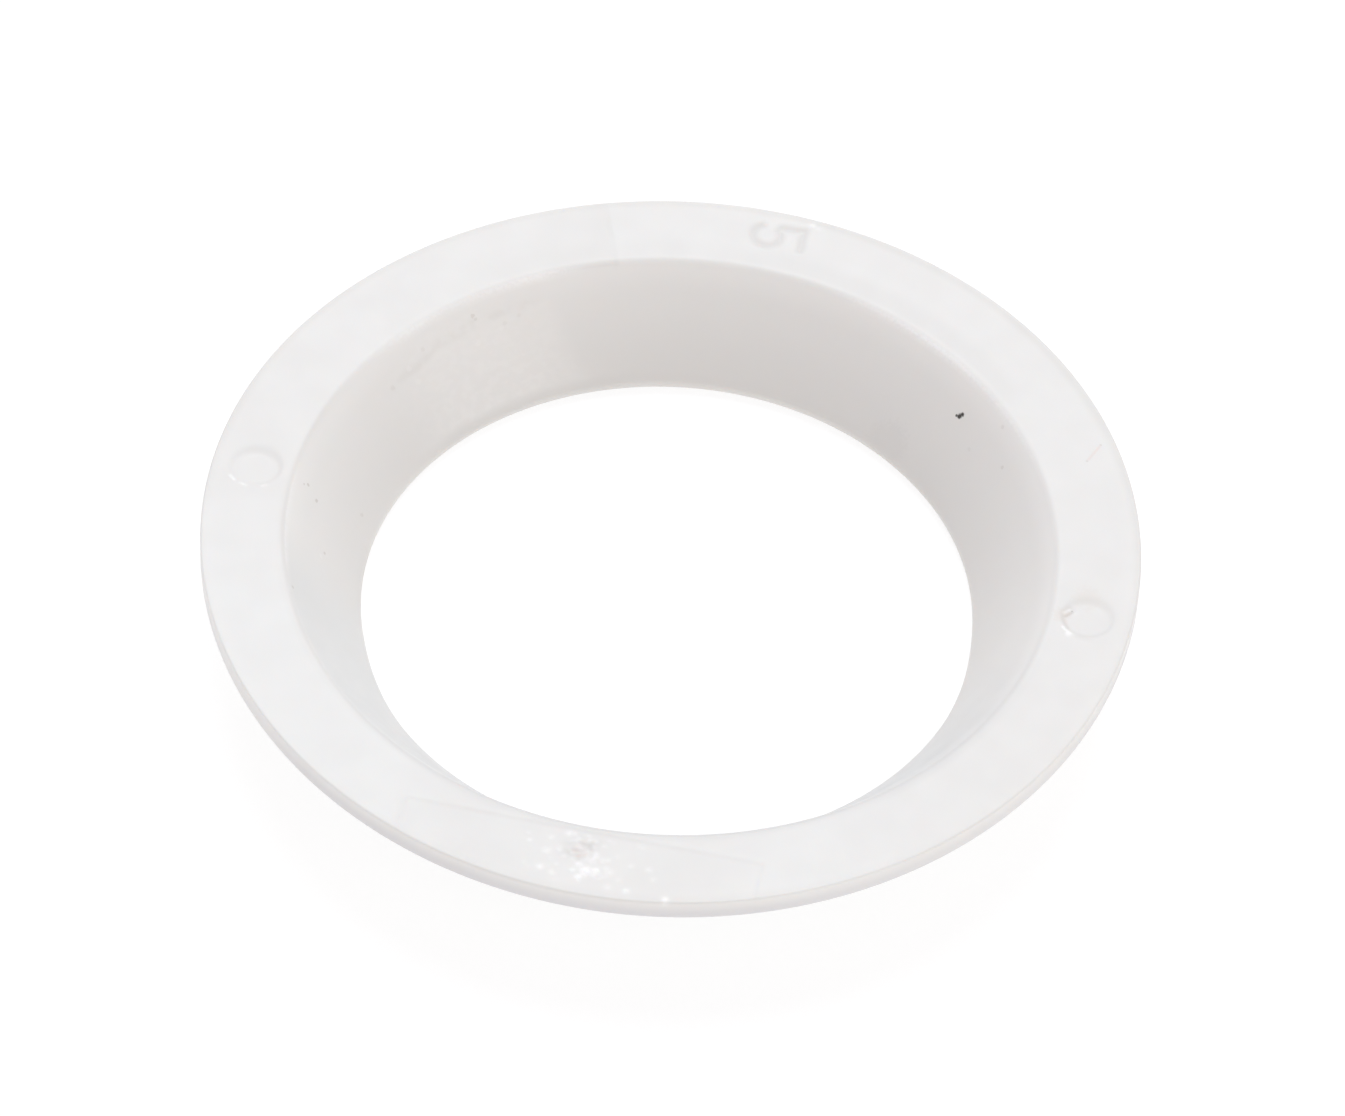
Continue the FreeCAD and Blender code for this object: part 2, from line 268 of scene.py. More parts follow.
def pin_marks(x, y):
    """Both ejector pins' marks, with a sliver of flash folded into the right-hand one, the dark fold beside
    it and the dark stretch of edge in front of it: (height, painted shade and dark marks, whitening and
    painted highlight)."""
    right = pin_mark(x - PIN_OFFSET, y + PIN_SHIFT, 0.1, 0.6, RIGHT_BURRS)
    left = pin_mark(x + PIN_OFFSET, y + PIN_SHIFT, 0.2, -0.2, LEFT_BURRS)
    height, groove_shade_and_stain, whitened_and_highlight = (here + there for here, there in zip(right, left))
    sliver = to_segment(x, y, *SLIVER)
    height += 0.07 * ridge(sliver, 0.22) - 0.04 * ridge(sliver - 0.45, 0.2)
    glint = np.hypot(x - GLINT[0], y - GLINT[1])
    whitened_and_highlight += 0.35 * ridge(sliver, 0.2) + 0.15 * ridge(glint, 0.35)
    groove_shade_and_stain += 0.6 * ridge(sliver - 0.42, 0.18)
    groove_shade_and_stain += 2.5 * ridge(to_segment(x, y, *FOLD), 0.17) + 1.1 * ridge(to_segment(x, y, *PINCH), 0.28)
    return height, groove_shade_and_stain, whitened_and_highlight


def insert_line(x, y):
    """The gate's insert: its face is a little low, with a line of flash round it: (height, groove)."""
    past_edge = -y - INSERT_EDGE
    past_end = np.abs(x) - INSERT_HALF
    inside = ease(past_edge, -0.25, 0.25) * (1 - ease(past_end, -0.25, 0.25))
    worn = 0.8 + 0.2 * np.sin(1.9 * x + 0.7) * np.sin(0.8 * x)
    edge = worn * ridge(past_edge + 0.3, 0.32) * (1 - ease(past_end, 0, 0.4))
    end = (0.9 + 0.1 * np.sin(2.6 * y)) * ridge(past_end, 0.28) * ease(past_edge, -0.3, 0.1)
    height = 0.035 * edge + 0.05 * end - INSERT_DEPTH * inside
    return height, 0.12 * edge + 0.3 * end


def bore_line(x, y):
    """Along the bore's edge: a dark line on the left, with a short white one inside it, and two stretches of
    painted highlight on the rounded edge behind, one each side of the middle: (darkening, whitening and
    painted highlight)."""
    radius = np.hypot(x, y)
    turn = np.degrees(np.arctan2(y, x)) % 360
    left = ease(turn, 150, 165) * (1 - ease(turn, 210, 224))
    white = ease(turn, 178, 184) * (1 - ease(turn, 196, 202))
    # Two stretches of painted highlight on the rounded edge at the back.
    painted_edge_highlight = 0.8 * ease(turn, 22, 48) * (1 - ease(turn, 64, 80))
    painted_edge_highlight += 0.65 * ease(turn, 112, 124) * (1 - ease(turn, 144, 158))
    patchy = 0.7 + 0.3 * np.sin(np.radians(turn * 11)) * np.sin(np.radians(turn * 5))
    groove_shade_and_stain = 0.9 * patchy * left * ridge(radius - BORE - 0.05, 0.35)
    whitened_and_highlight = 0.35 * white * ridge(radius - BORE + 0.32, 0.13)
    whitened_and_highlight += patchy * painted_edge_highlight * ridge(radius - BORE + 0.18, 0.32)
    return groove_shade_and_stain, whitened_and_highlight


def weld_line(x, y):
    """A fine wandering line across the flange where two flows met: (height, groove)."""
    turn = radians(WELD_AZIMUTH)
    along = x * cos(turn) + y * sin(turn)
    across = -x * sin(turn) + y * cos(turn) + 0.25 * np.sin(along * 1.1) - 0.1
    strength = (0.55 + 0.45 * np.sin(along * 0.9 + 0.6)) * ease(along, 20, 30)
    sunk = strength * ridge(across - 0.2, 0.3)
    raised = strength * ridge(across + 0.25, 0.3)
    return WELD_DEPTH * (raised - sunk), 0.2 * sunk


def blisters(x, y):
    """Splayed plastic, in whitened blisters and a faint haze about the gate: (height, whitened).

    The plainest blisters are listed and the rest are scattered.
    """
    spots = list(BLISTERS)
    scatter = np.random.default_rng(7)
    for _ in range(60):
        place = scatter.normal(1.2, 3.4), scatter.uniform(-52.6, -45.4)
        spots.append((*place, scatter.uniform(0.2, 0.42), scatter.uniform(0.08, 0.35)))
    for _ in range(32):
        place = scatter.normal(1.4, 1.3), scatter.normal(-50.7, 0.8)
        spots.append((*place, scatter.uniform(0.15, 0.32), scatter.uniform(0.06, 0.3)))
    height = np.zeros_like(x)
    haze = np.exp(-((x - 1.4) / 2.6) ** 2 - ((y + 50.6) / 1.5) ** 2)
    whitened_and_highlight = 0.05 * haze
    for spot_x, spot_y, radius, white in spots:
        bulge = np.exp(-((x - spot_x) ** 2 + (y - spot_y) ** 2) / radius ** 2)
        height += BLISTER_HEIGHT * white * bulge
        whitened_and_highlight += white * bulge
    return height, whitened_and_highlight


def gate(x, y):
    """A dished gate with a ragged torn stub, stained unevenly round it: (height, groove)."""
    out = np.hypot(x - GATE_MIDDLE[0], y - GATE_MIDDLE[1])
    height = -GATE_DEPTH * (1 - ease(out, GATE_RADIUS - 0.7, GATE_RADIUS + 0.4))
    height += STUB_HEIGHT * (1 - ease(out, 0.3, 0.9))
    torn = 1 - ease(np.hypot((x - 0.3) / 1.9, (y + 47.7) / 2.3), 0.35, 1.25)
    groove_shade_and_stain = np.zeros_like(x)
    for patch_x, patch_y, radius, dark in GATE_PATCHES:
        groove_shade_and_stain += dark * np.exp(-((x - patch_x) ** 2 + (y - patch_y) ** 2) / radius ** 2)
    elsewhere = Vector((3, 5, 0))
    for index in np.flatnonzero(torn > 0):
        here = Vector((x.flat[index], y.flat[index], 0))
        height.flat[index] += 0.12 * noise.noise(here * 1.5) * torn.flat[index]
        groove_shade_and_stain.flat[index] *= max(0.3, 1 + 0.7 * noise.noise(here * 1.4 + elsewhere))
    return height, groove_shade_and_stain


def relief(x, y):
    """All the marks of the top face: (height, painted shade and stains, whitening and painted highlight)."""
    figure_height, figure_groove = cavity_figure(x, y)
    pin_height, pin_groove, pin_white = pin_marks(x, y)
    line_height, line_groove = insert_line(x, y)
    bore_groove, bore_white = bore_line(x, y)
    weld_height, weld_groove = weld_line(x, y)
    blister_height, blister_white = blisters(x, y)
    gate_height, gate_groove = gate(x, y)
    height = figure_height + pin_height + line_height + weld_height + blister_height + gate_height
    groove_shade_and_stain = figure_groove + pin_groove + line_groove + bore_groove + weld_groove + 0.7 * gate_groove
    return height, groove_shade_and_stain, np.clip(pin_white + bore_white + blister_white, 0, 1)


def warp(radius, azimuth):
    """How far the moulding has sprung out of true: (outwards, upwards)."""
    turn = np.radians(azimuth)
    share = (radius - THROAT) / (RIM - THROAT)
    up = -DIP * share * (0.5 + 0.5 * np.cos(2 * turn))
    lobes = LOBES * np.cos(3 * turn - 3 * pi / 4)
    oval = -OVAL * np.cos(2 * turn)
    off_centre = OFF_CENTRE[0] * np.cos(turn) + OFF_CENTRE[1] * np.sin(turn)
    at_rim = share ** 4 * (lobes + oval + off_centre)
    at_front = ease(np.cos(turn - radians(BULGE_AZIMUTH)), 0.1, 0.55)
    at_lip = BULGE * at_front * np.clip(1 - 1.6 * share, 0, 1)
    return at_rim + at_lip, up


def make_moulding():
    """The lathe mesh: every section point turned through every azimuth, then moved by relief and warp."""
    points, marked = section()
    columns = azimuths()
    rows = np.array(points)
    radius = np.repeat(rows[:, :1], len(columns), axis=1)
    height = np.repeat(rows[:, 1:], len(columns), axis=1)
    azimuth = np.repeat(columns[None, :], len(rows), axis=0)
    turn = np.radians(azimuth)

    x, y = radius[:marked] * np.cos(turn[:marked]), radius[:marked] * np.sin(turn[:marked])
    raised, groove_shade_and_stain, whitened_and_highlight = relief(x, y)
    height[:marked] += raised
    out, up = warp(radius, azimuth)
    radius = radius + out
    height = height + up

    places = np.stack([radius * np.cos(turn), radius * np.sin(turn), height], axis=-1).reshape(-1, 3) * MM
    here = np.arange(places.shape[0]).reshape(radius.shape)
    down = np.roll(here, -1, axis=0)
    faces = np.stack([here, np.roll(here, -1, axis=1), np.roll(down, -1, axis=1), down], axis=-1)
    mesh = bpy.data.meshes.new("moulded_ring")
    mesh.from_pydata(places.tolist(), [], faces.reshape(-1, 4).tolist())
    mesh.shade_smooth()
    # Values kept at the points for the material: the darkening of painted shade and stains, and the
    # whitening of splayed plastic with painted highlights.
    for name, values in (("groove_shade_and_stain", groove_shade_and_stain), ("whitened_and_highlight", whitened_and_highlight)):
        shade = np.zeros(radius.shape, dtype=np.float32)
        shade[:marked] = values
        mesh.attributes.new(name, "FLOAT", "POINT").data.foreach_set("value", shade.ravel())
    mesh.validate()
    ring = bpy.data.objects.new("moulded_ring", mesh)
    bpy.context.scene.collection.objects.link(ring)
    return ring


# ---------------------------------------------------------------- material

WHITE = (0.82, 0.81, 0.795, 1.0)
SHADOWED = (0.74, 0.725, 0.705, 1.0)
PALE = (0.88, 0.87, 0.855, 1.0)
BRIGHT = (1.0, 1.0, 1.0, 1.0)
# Grime, and also the colour of the painted shade in the top face's grooves, dents and edges.
GRIME_AND_SHADE = (0.36, 0.30, 0.25, 1.0)
BLACK = (0.05, 0.045, 0.04, 1.0)
BLUSH = (0.80, 0.68, 0.65, 1.0)
# Painted shade: above the lip, low on the wall, at the rim's top edge and beside the bore at the back.
PAINTED_SHADE_GREY = (0.69, 0.675, 0.655, 1.0)
# Painted shade, a neutral grey for the front left of the wall.
LEFT_SHADE_GREY = (0.73, 0.731, 0.724, 1.0)
RIM_SHADE = (0.67, 0.665, 0.685, 1.0)
RUST = (0.76, 0.68, 0.60, 1.0)
# Painted shade for the front of the wall and the bore's edge.
FRONT_SHADE_GREY = (0.65, 0.648, 0.645, 1.0)
# Painted light for the front of the flange's top face.
PAINTED_LIGHT_WHITE = (0.838, 0.836, 0.824, 1.0)


class Nodes:
    """Short ways to add and link the nodes of one material. Lengths given to it are millimetres."""

    def __init__(self, material):
        material.use_nodes = True
        self.tree = material.node_tree
        self.shader = self.tree.nodes["Principled BSDF"]
        coordinates = self.tree.nodes.new("ShaderNodeTexCoord")
        scale = self.tree.nodes.new("ShaderNodeVectorMath")
        scale.operation = "SCALE"
        scale.inputs["Scale"].default_value = 1 / MM
        self.tree.links.new(coordinates.outputs["Object"], scale.inputs[0])
        self.place = scale.outputs["Vector"]
        split = self.tree.nodes.new("ShaderNodeSeparateXYZ")
        self.tree.links.new(self.place, split.inputs[0])
        self.x, self.y, self.z = split.outputs
        squares = self.total(self.product(self.x, self.x), self.product(self.y, self.y))
        self.from_axis = self.math("SQRT", squares)
        self.azimuth = self.product(self.math("ARCTAN2", self.y, self.x), 180 / pi)

    def feed(self, socket, value):
        """Link a socket to the input, or set the input to a plain value."""
        if isinstance(value, bpy.types.NodeSocket):
            self.tree.links.new(value, socket)
        else:
            socket.default_value = value

    def math(self, operation, *values):
        """One maths node."""
        node = self.tree.nodes.new("ShaderNodeMath")
        node.operation = operation
        for socket, value in zip(node.inputs, values):
            self.feed(socket, value)
        return node.outputs[0]

    def total(self, *values):
        """The sum of sockets and numbers."""
        result = values[0]
        for value in values[1:]:
            result = self.math("ADD", result, value)
        return result

    def product(self, *values):
        """The product of sockets and numbers."""
        result = values[0]
        for value in values[1:]:
            result = self.math("MULTIPLY", result, value)
        return result

    def fade(self, value, start, end, low=0.0, high=1.0):
        """A smooth change from low to high as the value goes from start to end."""
        node = self.tree.nodes.new("ShaderNodeMapRange")
        node.interpolation_type = "SMOOTHSTEP"
        node.clamp = True
        for name, number in (("From Min", start), ("From Max", end), ("To Min", low), ("To Max", high)):
            node.inputs[name].default_value = number
        self.feed(node.inputs["Value"], value)
        return node.outputs["Result"]

    def noise(self, size, detail, stretch=(1, 1, 1)):
        """Noise whose features are about this many millimetres across, stretched along each axis."""
        mapping = self.tree.nodes.new("ShaderNodeMapping")
        mapping.inputs["Scale"].default_value = tuple(1 / (size * axis) for axis in stretch)
        self.feed(mapping.inputs["Vector"], self.place)
        node = self.tree.nodes.new("ShaderNodeTexNoise")
        node.inputs["Scale"].default_value = 1.0
        node.inputs["Detail"].default_value = detail
        node.inputs["Roughness"].default_value = 0.5
        self.feed(node.inputs["Vector"], mapping.outputs["Vector"])
        return node.outputs["Fac"]

    def wander(self, size, detail):
        """Noise about zero."""
        return self.math("SUBTRACT", self.noise(size, detail), 0.5)

    def distance(self, point):
        """Millimetres from a point."""
        node = self.tree.nodes.new("ShaderNodeVectorMath")
        node.operation = "DISTANCE"
        self.feed(node.inputs[0], self.place)
        node.inputs[1].default_value = point
        return node.outputs["Value"]

    def attribute(self, name):
        """One of the mesh's own values, stored at its points."""
        node = self.tree.nodes.new("ShaderNodeAttribute")
        node.attribute_name = name
        return node.outputs["Fac"]

    def spot(self, point, radius, ragged):
        """1 inside a spot about a point on the surface, and 0 outside it; ragged is a noise about zero."""
        size = self.math("ADD", self.distance(point), self.product(ragged, 1.6 * radius))
        return self.fade(size, radius * 0.65, radius * 1.35, 1.0, 0.0)

    def mix(self, share, first, second):
        """The first colour turned towards the second by this share."""
        node = self.tree.nodes.new("ShaderNodeMix")
        node.data_type = "RGBA"
        self.feed(node.inputs["Factor"], share)
        colours = [socket for socket in node.inputs if socket.type == "RGBA"]
        self.feed(colours[0], first)
        self.feed(colours[1], second)
        return next(socket for socket in node.outputs if socket.type == "RGBA")

    def bump(self, height, depth):
        """A normal from a height, where a height of 1 is this many millimetres."""
        node = self.tree.nodes.new("ShaderNodeBump")
        node.inputs["Strength"].default_value = 1.0
        node.inputs["Distance"].default_value = depth * MM
        self.feed(node.inputs["Height"], height)
        return node.outputs["Normal"]


def on_wall(azimuth, height):
    """A point on the collar's inner wall."""
    lean = radians(LEAN)
    radius = THROAT + LIP - LIP * cos(lean) + (height - LIP - LIP * sin(lean)) * tan(lean)
    turn = radians(azimuth)
    return radius * cos(turn), radius * sin(turn), height


# Specks in the collar's inner wall, and a patch of painted shade low on it: azimuth, height, radius,
# strength and colour.
SPECKS = [(47.0, 9.2, 0.36, 1.0, BLACK), (46.75, 9.5, 0.27, 1.0, BLACK), (47.6, 9.0, 0.16, 0.9, BLACK),
          (180.7, 11.3, 0.16, 0.3, GRIME_AND_SHADE), (180.1, 10.8, 0.2, 0.32, GRIME_AND_SHADE), (181.2, 9.3, 0.24, 0.3, GRIME_AND_SHADE),
          (189.5, 6.9, 0.2, 0.25, GRIME_AND_SHADE), (190.8, 7.4, 0.26, 0.3, PALE), (203.0, 12.2, 0.22, 0.25, GRIME_AND_SHADE),
          (175.2, 3.7, 0.26, 0.14, GRIME_AND_SHADE), (39.0, 11.8, 0.24, 0.14, GRIME_AND_SHADE), (33.8, 9.5, 0.22, 0.18, GRIME_AND_SHADE),
          (41.6, 7.7, 0.24, 0.08, GRIME_AND_SHADE), (134.9, 11.2, 0.26, 0.2, GRIME_AND_SHADE), (134.6, 10.8, 0.2, 0.16, GRIME_AND_SHADE),
          (130.0, 9.4, 0.26, 0.07, GRIME_AND_SHADE), (127.3, 9.7, 0.25, 0.06, GRIME_AND_SHADE), (145.2, 10.6, 0.25, 0.08, GRIME_AND_SHADE),
          (153.4, 9.3, 0.35, 0.09, GRIME_AND_SHADE), (149.0, 9.8, 0.35, 0.4, PALE), (148.4, 8.2, 0.35, 0.3, PALE),
          (135.5, 8.6, 0.35, 0.4, PALE), (130.8, 9.1, 0.3, 0.3, PALE), (56.5, 2.4, 2.6, 0.4, PAINTED_SHADE_GREY)]

# Stains on the flange's top face: place, radius, strength and colour. They are a blush on the torn gate,
# rust left and behind in the right-hand pin mark, a black dot beside its sliver of flash and the dark
# ends of the scratch.
STAINS = [((*GATE_MIDDLE, TOP - 0.1), 0.9, 0.2, BLUSH), ((45.6, -0.9, TOP), 1.0, 0.2, RUST),
          ((48.2, 2.3, TOP), 1.6, 0.14, RUST), ((46.75, 0.1, TOP - 0.1), 0.13, 0.85, BLACK),
          ((*SCRATCH[0], TOP), 0.17, 0.2, GRIME_AND_SHADE), ((*SCRATCH[1], TOP), 0.17, 0.2, GRIME_AND_SHADE)]


def on_top_face(nodes):
    """1 on the flange's top face and 0 below it."""
    return nodes.fade(nodes.z, TOP - 0.5, TOP - 0.3)


def pale_patch(nodes):
    """How pale the patch at the back of the wall is: it starts at a wandering edge and fades out."""
    lean_in = nodes.product(nodes.z, -0.5)
    edge = nodes.total(nodes.azimuth, lean_in, nodes.product(nodes.wander(5.0, 3.0), 4.0))
    sharp_start = nodes.fade(edge, 114.5, 118.5, 0.0, 0.35)
    soft_start = nodes.fade(edge, 113, 130, 0.0, 0.65)
    ends = nodes.fade(nodes.azimuth, 140, 161, 1.0, 0.0)
    frost = nodes.fade(nodes.noise(1.3, 3.0, (1, 1, 0.6)), 0.4, 0.65, 0.38, 0.53)
    return nodes.product(nodes.total(sharp_start, soft_start), ends, frost)


def painted_light_under_bore_edge(nodes):
    """How much painted light makes the wall pale under the bore's edge, more so on the right."""
    upwards = nodes.fade(nodes.z, TOP - 3.4, TOP - 0.2)
    to_right = nodes.fade(nodes.x, -15, 25, 0.58, 0.8)
    return nodes.product(upwards, to_right)


def flow_line(nodes):
    """How dark the faint, sagging flow line across the pale patch is."""
    past_middle = nodes.total(nodes.azimuth, -FLOW_AZIMUTH)
    sag = nodes.product(past_middle, past_middle, 0.0021)
    unsteady = nodes.product(nodes.wander(3.5, 2.0), 0.9)
    away = nodes.math("ABSOLUTE", nodes.total(nodes.z, -FLOW_HEIGHT, sag, unsteady))
    thin = nodes.fade(away, 0.0, 0.75, 1.0, 0.0)
    starts = nodes.fade(nodes.azimuth, 122, 128)
    ends = nodes.fade(nodes.azimuth, 149, 156, 1.0, 0.0)
    strength = nodes.fade(nodes.noise(1.8, 1.0), 0.35, 0.6, 0.01, 0.07)
    return nodes.product(thin, starts, ends, strength)


def painted_shade_by_lip(nodes):
    """How much painted shade dims the wall just above the lip, mostly below the pale patch."""
    low = nodes.fade(nodes.z, 1.4, 2.7, 0.75, 0.0)
    starts = nodes.fade(nodes.azimuth, 105, 118, 0.35, 1.0)
    ends = nodes.fade(nodes.azimuth, 144, 162, 1.0, 0.0)
    return nodes.product(low, starts, ends)


def painted_front_shade(nodes):
    """How much painted shade greys the wall and the bore's edge towards the front, more so lower down."""
    over_edge = nodes.fade(nodes.from_axis, BORE - 0.5, BORE + 1.7, 1.0, 0.0)
    to_front = nodes.fade(nodes.total(nodes.y, nodes.product(nodes.x, -0.3)), -36, -12, 1.0, 0.0)
    below = nodes.fade(nodes.z, 6.5, 12.5, 1.0, 0.6)
    return nodes.product(over_edge, to_front, below)


def wall_tone(nodes, colour):
    """The collar's inner wall: painted shade that makes it greyer low down, painted light that makes it pale
    under the bore's edge, a pale patch at the back with a flow line across it, painted shade in a dim
    stretch above the lip, and painted shade that makes it greyer at the front left and darker at the front."""
    on_bore = nodes.fade(nodes.from_axis, BORE - 0.8, BORE + 0.4, 1.0, 0.0)
    # Painted shade: the wall gets greyer towards its lower end, a little less so at the front.
    painted_low_shade = nodes.product(nodes.fade(nodes.z, LIP, TOP - BORE_EDGE, 1.0, 0.1), on_bore)
    to_back = nodes.fade(nodes.y, 5, 28, 0.85, 1.0)
    colour = nodes.mix(nodes.product(painted_low_shade, to_back), colour, SHADOWED)
    # The pale patch, and the painted light under the bore's edge.
    pale_patch_and_painted_light = nodes.math("MAXIMUM", pale_patch(nodes), painted_light_under_bore_edge(nodes))
    colour = nodes.mix(nodes.product(pale_patch_and_painted_light, on_bore), colour, PALE)
    colour = nodes.mix(nodes.product(flow_line(nodes), on_bore), colour, GRIME_AND_SHADE)
    colour = nodes.mix(painted_shade_by_lip(nodes), colour, PAINTED_SHADE_GREY)
    # Painted shade: the wall turns a neutral grey at the front left.
    left = nodes.product(nodes.fade(nodes.y, -17, -6, 1.0, 0.0), nodes.fade(nodes.x, -30, -20, 1.0, 0.0))
    colour = nodes.mix(nodes.product(left, on_bore, 0.85), colour, LEFT_SHADE_GREY)
    return nodes.mix(painted_front_shade(nodes), colour, FRONT_SHADE_GREY)


def rim_tone(nodes, colour):
    """The rim: painted shade makes its side darker towards the underside, most of all near the gate, and
    makes its top edge a little dim, more so at the back."""
    on_rim = nodes.fade(nodes.from_axis, RIM - 0.6, RIM - 0.3)
    down = nodes.fade(nodes.z, UNDER - 0.2, TOP + 0.2, 1.0, 0.0)
    from_gate = nodes.math("ABSOLUTE", nodes.total(nodes.azimuth, 90))
    by_gate = nodes.fade(from_gate, 12, 60, 1.0, 0.66)
    colour = nodes.mix(nodes.product(on_rim, down, by_gate), colour, RIM_SHADE)
    on_top = on_top_face(nodes)
    # Painted shade along the rim's top edge, stronger at the back.
    painted_edge_shade = nodes.fade(nodes.from_axis, RIM - 1.3, RIM)
    at_back = nodes.fade(nodes.y, -30, 10, 0.2, 0.5)
    return nodes.mix(nodes.product(on_top, painted_edge_shade, at_back), colour, PAINTED_SHADE_GREY)


def flange_tone(nodes, colour):
    """The flange's top face: painted light makes it a little lighter towards the front, less so beside the
    gate, and painted shade dims it beside the bore at the back."""
    on_top = on_top_face(nodes)
    to_front = nodes.fade(nodes.total(nodes.y, nodes.product(nodes.x, 0.35)), -42, -12, 1.0, 0.0)
    by_gate = nodes.fade(nodes.math("ABSOLUTE", nodes.x), 12, 24, 0.3, 1.0)
    on_flange = nodes.fade(nodes.from_axis, BORE + 0.2, BORE + 1.2)
    colour = nodes.mix(nodes.product(on_top, on_flange, to_front, by_gate), colour, PAINTED_LIGHT_WHITE)
    beside_bore = nodes.fade(nodes.from_axis, BORE + 2.0, BORE + 4.2, 1.0, 0.0)
    starts = nodes.fade(nodes.azimuth, 38, 50)
    ends = nodes.fade(nodes.azimuth, 82, 100, 1.0, 0.4)
    stops = nodes.fade(nodes.azimuth, 120, 140, 1.0, 0.0)
    painted_bore_shade = nodes.product(on_top, on_flange, beside_bore, starts, ends, stops, 0.22)
    return nodes.mix(painted_bore_shade, colour, PAINTED_SHADE_GREY)


def weld_tone(nodes, colour):
    """The flange is slightly darker past the line where the two flows of plastic met."""
    weld = radians(WELD_AZIMUTH)
    across = nodes.total(nodes.product(nodes.x, -sin(weld)), nodes.product(nodes.y, cos(weld)))
    along = nodes.total(nodes.product(nodes.x, cos(weld)), nodes.product(nodes.y, sin(weld)))
    on_top = nodes.product(on_top_face(nodes), nodes.fade(along, 20, 30))
    past_weld = nodes.fade(across, -0.15, 0.25)
    fading = nodes.fade(across, 0.0, 16.0, 1.0, 0.0)
    return nodes.mix(nodes.product(on_top, past_weld, fading, 0.25), colour, SHADOWED)


def scratch_mark(nodes):
    """1 along the short scratch on the flange."""
    (x0, y0), (x1, y1) = SCRATCH
    length = hypot(x1 - x0, y1 - y0)
    along_x, along_y = (x1 - x0) / length, (y1 - y0) / length
    run = nodes.total(nodes.product(nodes.x, along_x), nodes.product(nodes.y, along_y),
                      -(x0 * along_x + y0 * along_y))
    side = nodes.total(nodes.product(nodes.x, -along_y), nodes.product(nodes.y, along_x),
                       x0 * along_y - y0 * along_x)
    thin = nodes.fade(nodes.math("ABSOLUTE", side), 0.06, 0.26, 1.0, 0.0)
    ends = nodes.product(nodes.fade(run, -0.1, 0.4), nodes.fade(run, length - 0.4, length + 0.1, 1.0, 0.0))
    return nodes.product(thin, ends, on_top_face(nodes))


def white_plastic():
    """Natural polyethylene, slightly translucent, with the marks that moulding and handling leave, and
    painted light and shade on the collar, the flange and the rim.
    """
    material = bpy.data.materials.new("white_plastic")
    nodes = Nodes(material)
    shader = nodes.shader
    shader.inputs["IOR"].default_value = 1.5
    shader.inputs["Subsurface Weight"].default_value = 0.35
    shader.inputs["Subsurface Radius"].default_value = (1.0, 0.85, 0.7)
    shader.inputs["Subsurface Scale"].default_value = 1.5 * MM

    mottle = nodes.fade(nodes.noise(9.0, 3.0), 0.35, 0.7, 0.0, 0.07)
    colour = nodes.mix(mottle, WHITE, SHADOWED)
    colour = wall_tone(nodes, colour)
    colour = flange_tone(nodes, colour)
    colour = weld_tone(nodes, colour)
    colour = rim_tone(nodes, colour)

    # White splayed plastic, and the painted highlights of the pin marks and the bore's edge, turned whiter
    # and glossier.
    whitened_and_highlight = nodes.attribute("whitened_and_highlight")
    grain = nodes.fade(nodes.noise(0.4, 2.0), 0.3, 0.6, 0.5, 1.0)
    splay_and_highlight = nodes.product(whitened_and_highlight, grain)
    # Painted shade in the figure, the pin marks and the other grooves and edges, with the gate's real
    # stains.
    colour = nodes.mix(nodes.product(nodes.attribute("groove_shade_and_stain"), 0.11), colour, GRIME_AND_SHADE)
    colour = nodes.mix(splay_and_highlight, colour, BRIGHT)

    ragged = nodes.wander(0.5, 3.0)
    for azimuth, height, radius, strength, tint in SPECKS:
        speck = nodes.spot(on_wall(azimuth, height), radius, ragged)
        colour = nodes.mix(nodes.product(speck, strength), colour, tint)
    for point, radius, strength, tint in STAINS:
        stain = nodes.spot(point, radius, ragged)
        colour = nodes.mix(nodes.product(stain, strength), colour, tint)
    scratch = scratch_mark(nodes)
    colour = nodes.mix(nodes.product(scratch, 0.4), colour, BLUSH)
    nodes.feed(shader.inputs["Base Color"], colour)

    gloss = nodes.fade(nodes.noise(3.5, 3.0), 0.3, 0.7, 0.36, 0.46)
    gloss = nodes.math("SUBTRACT", gloss, nodes.product(splay_and_highlight, 0.15))
    nodes.feed(shader.inputs["Roughness"], gloss)
    skin = nodes.noise(0.45, 2.0)
    swell = nodes.noise(5.0, 1.0)
    ripples = nodes.total(nodes.product(skin, 0.10), nodes.product(swell, 0.9), nodes.product(scratch, -0.5))
    nodes.feed(shader.inputs["Normal"], nodes.bump(ripples, 0.03))
    return material


# ---------------------------------------------------------------- studio

# How far each softbox stands from the frame's origin, in metres.
SOFTBOX_DISTANCE = 1.4


def make_floor():
    """A wide pale floor that the collar's bottom edge stands on. It gives off some light of its own."""
    half_metres = 12.0
    height = cad_box[0].z
    mesh = bpy.data.meshes.new("floor")
    sides = [(-1, -1), (1, -1), (1, 1), (-1, 1)]
    corners = [(half_metres * side_x, half_metres * side_y, height) for side_x, side_y in sides]
    mesh.from_pydata(corners, [], [(0, 1, 2, 3)])
    floor = bpy.data.objects.new("floor", mesh)
    bpy.context.scene.collection.objects.link(floor)
    material = bpy.data.materials.new("floor")
    material.use_nodes = True
    shader = material.node_tree.nodes["Principled BSDF"]
    shader.inputs["Base Color"].default_value = (0.35, 0.35, 0.35, 1.0)
    shader.inputs["Roughness"].default_value = 0.9
    shader.inputs["Specular IOR Level"].default_value = 0.1
    shader.inputs["Emission Color"].default_value = (1.0, 1.0, 1.0, 1.0)
    shader.inputs["Emission Strength"].default_value = 0.72
    mesh.materials.append(material)


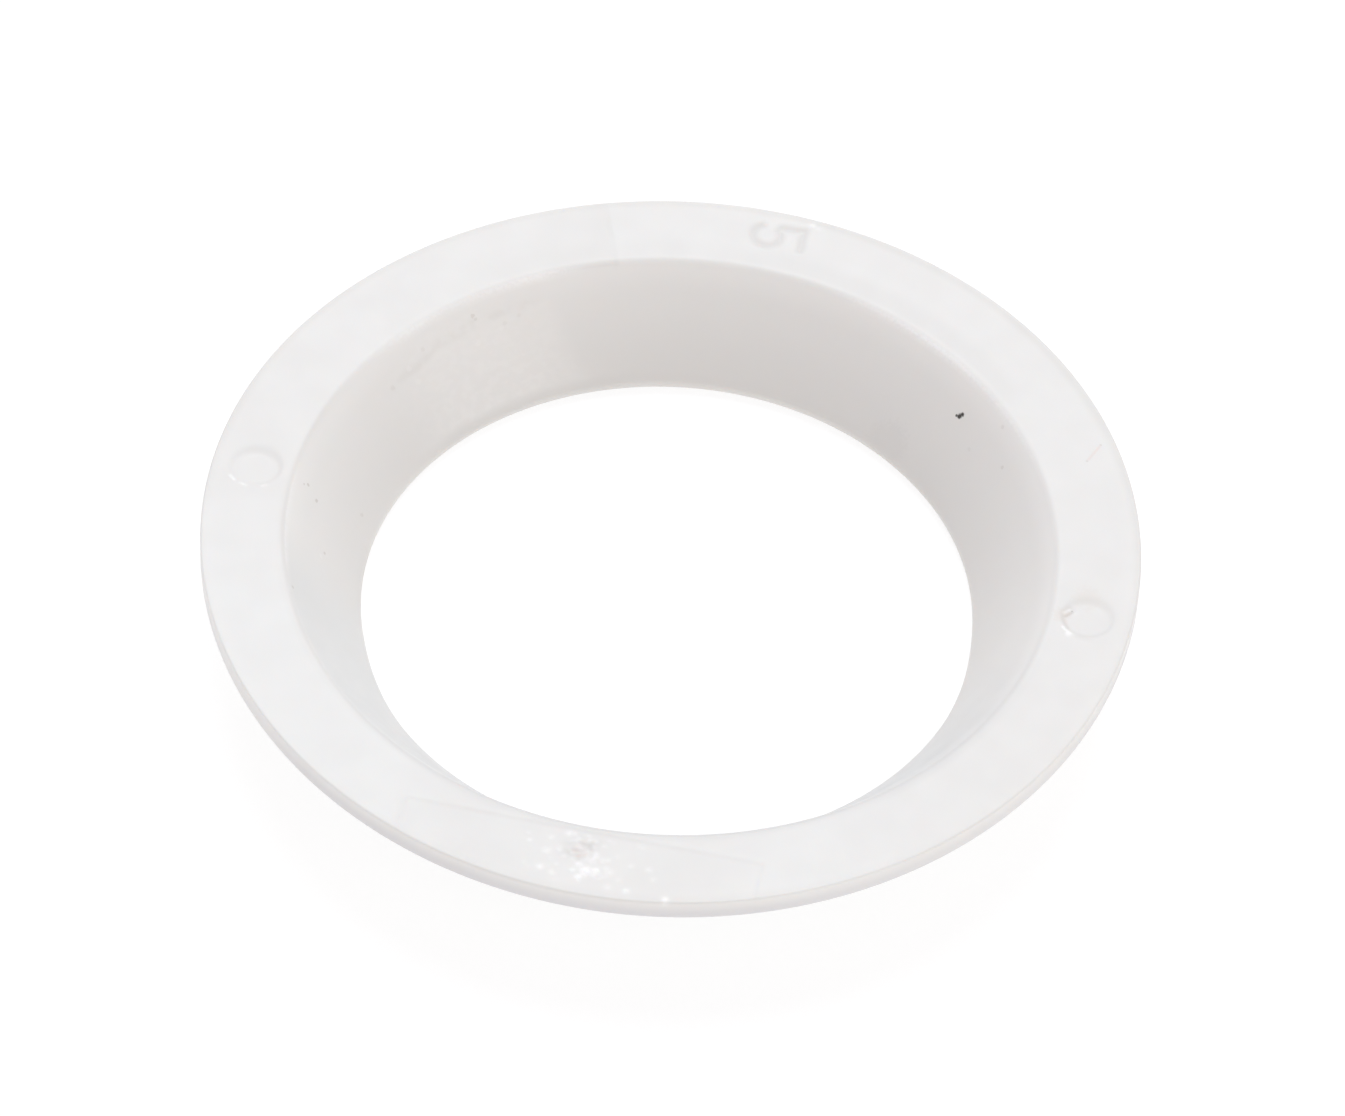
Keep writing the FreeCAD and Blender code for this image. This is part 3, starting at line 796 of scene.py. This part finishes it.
def make_softbox(name, azimuth, elevation, size, watts, colour):
    """A round softbox that looks at the object. Its size is in metres."""
    data = bpy.data.lights.new(name, "AREA")
    data.shape = "DISK"
    data.size = size
    data.energy = watts
    data.color = colour
    turn, rise = radians(azimuth), radians(elevation)
    place = SOFTBOX_DISTANCE * Vector((cos(turn) * cos(rise), sin(turn) * cos(rise), sin(rise)))
    lamp = bpy.data.objects.new(name, data)
    lamp.location = place
    lamp.rotation_mode = "QUATERNION"
    lamp.rotation_quaternion = (-place).to_track_quat("-Z", "Y")
    bpy.context.scene.collection.objects.link(lamp)


def make_lights():
    """Even light from all round, a cool softbox high at the back and a weak one low at the front right."""
    world = bpy.data.worlds.new("studio")
    bpy.context.scene.world = world
    world.use_nodes = True
    background = world.node_tree.nodes["Background"]
    background.inputs["Color"].default_value = (1.0, 0.963, 0.975, 1.0)
    background.inputs["Strength"].default_value = 0.715
    make_softbox("key", 100, 50, 1.2, 8.0, (0.86, 0.95, 1.0))
    make_softbox("fill", -35, 18, 1.2, 2.9, (1.0, 1.0, 0.9))


def make_camera():
    """A long lens from above and a little to the right of the gate, rolled slightly."""
    elevation, azimuth, roll = radians(47.9), radians(-80), radians(2.9)
    distance = 912.4 * MM
    aim = Vector((0.9 * MM, -3.05 * MM, TOP * MM))
    back = Vector((cos(azimuth) * cos(elevation), sin(azimuth) * cos(elevation), sin(elevation)))
    data = bpy.data.cameras.new("camera")
    data.sensor_width = 36.0
    data.lens = 214.1
    data.clip_start = 0.05
    data.clip_end = 60.0
    camera = bpy.data.objects.new("camera", data)
    turn = (-back).to_track_quat("-Z", "Y").to_matrix().to_4x4()
    camera.matrix_world = Matrix.Translation(aim + back * distance) @ turn @ Matrix.Rotation(roll, 4, "Z")
    bpy.context.scene.collection.objects.link(camera)
    bpy.context.scene.camera = camera


ring = make_moulding()
ring.data.materials.append(white_plastic())
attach(ring, "root")
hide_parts("flange_ring")
make_floor()
make_lights()
make_camera()
bpy.context.scene.view_settings.view_transform = "Standard"
